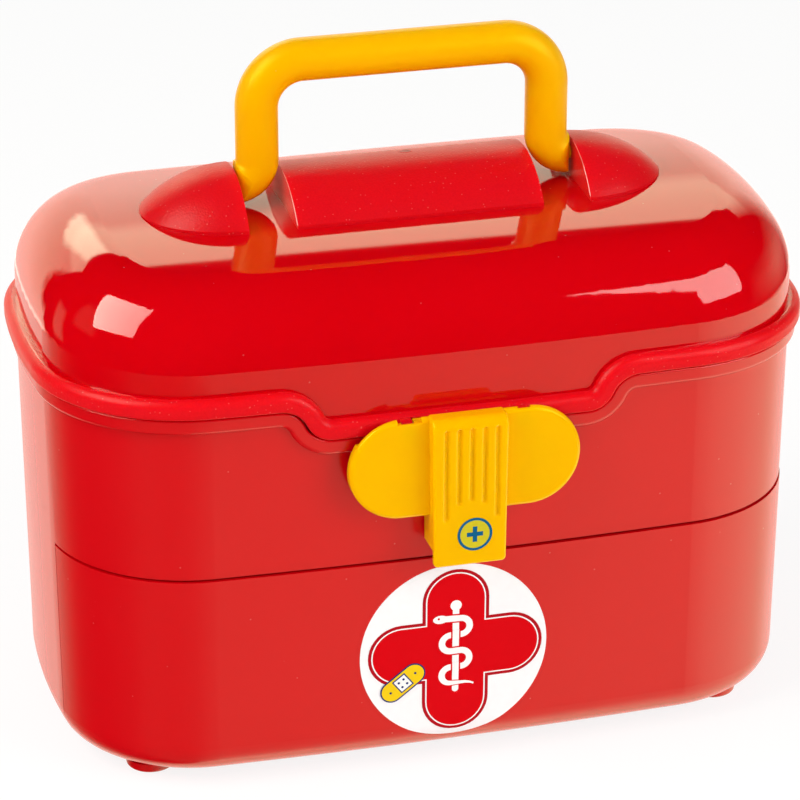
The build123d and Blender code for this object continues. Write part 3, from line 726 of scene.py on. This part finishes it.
# A flat grid is the strip: its length is laid along the path, and its width across it.
line = path_strip.nodes.new("GeometryNodeMeshToCurve")
link(path_strip, entry.outputs["Path"], line.inputs["Mesh"])
grid = add_node(path_strip, "GeometryNodeMeshGrid", Size_X=1.0, Size_Y=2.0, Vertices_Y=3)
link(path_strip, entry.outputs["Steps"], grid.inputs["Vertices X"])
own = path_strip.nodes.new("ShaderNodeSeparateXYZ")
link(path_strip, path_strip.nodes.new("GeometryNodeInputPosition").outputs[0], own.inputs[0])
along = plus(path_strip, own.outputs["X"], 0.5, True)
spot = add_node(path_strip, "GeometryNodeSampleCurve", mode="FACTOR")
link(path_strip, line.outputs["Curve"], spot.inputs["Curves"])
link(path_strip, along, spot.inputs["Factor"])
across = add_node(path_strip, "ShaderNodeVectorMath", operation="CROSS_PRODUCT")
link(path_strip, spot.outputs["Tangent"], across.inputs[0])
across.inputs[1].default_value = (0, 1, 0)

# The tail starts at a quarter of the full width.
tail = math_node(path_strip, "DIVIDE", along, entry.outputs["Tail length"])
tail = plus(path_strip, times(path_strip, tail, 0.75), 0.25, True)
reach = times(path_strip, times(path_strip, own.outputs["Y"], entry.outputs["Half width"]), tail)
sideways = add_node(path_strip, "ShaderNodeVectorMath", operation="SCALE")
link(path_strip, across.outputs[0], sideways.inputs[0])
link(path_strip, reach, sideways.inputs["Scale"])
target = add_node(path_strip, "ShaderNodeVectorMath", operation="ADD")
link(path_strip, spot.outputs["Position"], target.inputs[0])
link(path_strip, sideways.outputs[0], target.inputs[1])
move = path_strip.nodes.new("GeometryNodeSetPosition")
link(path_strip, grid.outputs["Mesh"], move.inputs["Geometry"])
link(path_strip, target.outputs[0], move.inputs["Position"])
solid = path_strip.nodes.new("GeometryNodeRealizeInstances")
link(path_strip, move.outputs[0], solid.inputs[0])
coat = path_strip.nodes.new("GeometryNodeSetMaterial")
link(path_strip, solid.outputs[0], coat.inputs["Geometry"])
link(path_strip, entry.outputs["Paint"], coat.inputs["Material"])
link(path_strip, coat.outputs[0], leave.inputs["Strip"])


def print_path(name, centre, half_width, lift, paint):
    """Printed stroke that tapers at its start and follows a line of (x, z) points."""
    guide = bpy.data.meshes.new(name + "_guide")
    steps = [(i, i + 1) for i in range(len(centre) - 1)]
    guide.from_pydata([on_front(x, z, lift) for x, z in centre], steps, [])
    holder = bpy.data.objects.new(name + "_guide", guide)
    scene.collection.objects.link(holder)
    strip = holder.modifiers.new("strip", "NODES")
    strip.node_group = path_strip
    sockets = {item.name: item.identifier for item in path_strip.interface.items_tree}
    strip[sockets["Half width"]] = half_width / 1000
    strip[sockets["Paint"]] = paint
    holder.update_tag()
    bpy.context.view_layer.update()
    mesh = bpy.data.meshes.new_from_object(holder.evaluated_get(bpy.context.evaluated_depsgraph_get()))
    holder.modifiers.clear()
    bpy.data.objects.remove(holder)
    bpy.data.meshes.remove(guide)
    stick(name, mesh, "drawer")


# The snake is a row of half circles that swing from one side of the staff to the other.
snake_foot, bend_radius, bend_out, bend_count = 29.4, 2.95, 1.7, 4
snake_half, snake_edge_half = 1.1, 1.6
tail_points = ((6.2, -1.0), (5.0, -0.45), (3.4, -0.1))
snake = [(staff_x + x, snake_foot + z) for x, z in tail_points]
for k in range(bend_count):
    side = -1 if k % 2 == 0 else 1
    middle = snake_foot + (2 * k + 1) * bend_radius
    for degrees in range(-90, 91, 9):
        t = math.radians(degrees)
        out = bend_out + bend_radius * math.cos(t)
        snake.append((staff_x + side * out, middle + bend_radius * math.sin(t)))
head_x, head_z = staff_x - 4.6, snake_foot + 2 * bend_count * bend_radius + 0.25
head_half_length, head_half_height, eye_radius = 2.5, 1.5, 0.40
snake.append((head_x, head_z))
print_path("snake_edge", snake, snake_edge_half, 0.22, cross_red)
print_path("snake", snake, snake_half, 0.25, white_ink)
round_head = disc(0, 0, 1, 24)
head = [(head_x - 0.6 + head_half_length * x, head_z + head_half_height * z) for x, z in round_head]
print_shape("snake_head", [head], 0.27, white_ink, step=1.0)
print_shape("snake_eye", [disc(head_x - 1.2, head_z + 0.3, eye_radius, 12)], 0.30, cross_red)


def box_loop(cx, cz, half_x, half_z):
    signs = ((-1, -1), (1, -1), (1, 1), (-1, 1))
    return [(cx + sx * half_x, cz + sz * half_z) for sx, sz in signs]


# The staff passes in front of the snake at every other crossing.
front_edge_half, front_half_height = 1.45 * staff_half, 1.8
for k in (1, 3):
    crossing = snake_foot + 2 * k * bend_radius
    edge = box_loop(staff_x, crossing, front_edge_half, front_half_height)
    print_shape(f"staff_front_edge_{k}", [edge], 0.29, cross_red)
    front = box_loop(staff_x, crossing, staff_half, front_half_height)
    print_shape(f"staff_front_{k}", [front], 0.32, white_ink)


# ---- plaster print
# Small yellow sticking plaster with a dark blue outline, printed over the cross near the lower left.
# It has a white gauze pad and six round air holes.
plaster_yellow = ink("plaster_yellow", (0.90, 0.62, 0.01), 0.26)
plaster_blue = ink("plaster_blue", (0.012, 0.03, 0.17), 0.26)
plaster_at = (-18.6, 31.6, 38.0)
strip_half_length, strip_half_height, outline_width = 8.1, 3.4, 0.5
pad_half_x, pad_half_z, gauze_share = 2.6, 2.7, 0.84
hole_radius = 0.42
holes = ((-1.0, -1.0), (1.0, -1.0), (-1.0, 1.0), (1.0, 1.0), (-5.2, 0), (5.2, 0))


def round_ended(half_length, half_height):
    """Outline of the plaster's strip, with round ends."""
    hub = half_length - half_height
    ends = arc(hub, 0, half_height, -90, 90, 14) + arc(-hub, 0, half_height, 90, 270, 14)
    return turned(*plaster_at, ends)


rim = round_ended(strip_half_length + outline_width, strip_half_height + outline_width)
print_shape("plaster_rim", [rim], 0.24, plaster_blue)
print_shape("plaster_strip", [round_ended(strip_half_length, strip_half_height)], 0.28, plaster_yellow)
pad = turned(*plaster_at, box_loop(0, 0, pad_half_x, pad_half_z))
print_shape("plaster_pad", [pad], 0.32, plaster_blue)
gauze = turned(*plaster_at, box_loop(0, 0, gauze_share * pad_half_x, gauze_share * pad_half_z))
print_shape("plaster_gauze", [gauze], 0.36, white_ink)
for k, (x, z) in enumerate(turned(*plaster_at, holes)):
    print_shape(f"plaster_hole_{k}", [disc(x, z, hole_radius, 12)], 0.40, plaster_blue)


# ---- latch emblem
# Printed mark on the flat front of the latch clip: a blue ring round a plain plus on a greenish
# yellow ground.
emblem_blue = ink("emblem_blue", (0.006, 0.11, 0.24), 0.24)
emblem_yellow = ink("emblem_ground", (0.62, 0.52, 0.02), 0.24)
clip_front_y = -83.0
emblem_x, emblem_z = 1.4, 89.3
ground_radius, ring_outside, ring_inside = 5.2, 5.75, 4.85
arm, reach = 0.75, 2.7


def on_clip(x, z, lift):
    """Point of the clip's flat front in metres."""
    return (x / 1000, (clip_front_y - lift) / 1000, z / 1000)


def print_on_clip(name, loops, lift, paint):
    print_shape(name, loops, lift, paint, body="latch", place=on_clip, step=4.0)


print_on_clip("emblem_ground", [disc(emblem_x, emblem_z, ground_radius, 72)], 0.03, emblem_yellow)
ring = [disc(emblem_x, emblem_z, radius, 72) for radius in (ring_outside, ring_inside)]
print_on_clip("emblem_ring", ring, 0.05, emblem_blue)
plus_sign = [(arm, arm), (reach, arm), (reach, -arm), (arm, -arm), (arm, -reach), (-arm, -reach),
             (-arm, -arm), (-reach, -arm), (-reach, arm), (-arm, arm), (-arm, reach), (arm, reach)]
print_on_clip("emblem_plus", [[(emblem_x + x, emblem_z + z) for x, z in plus_sign]], 0.05, emblem_blue)
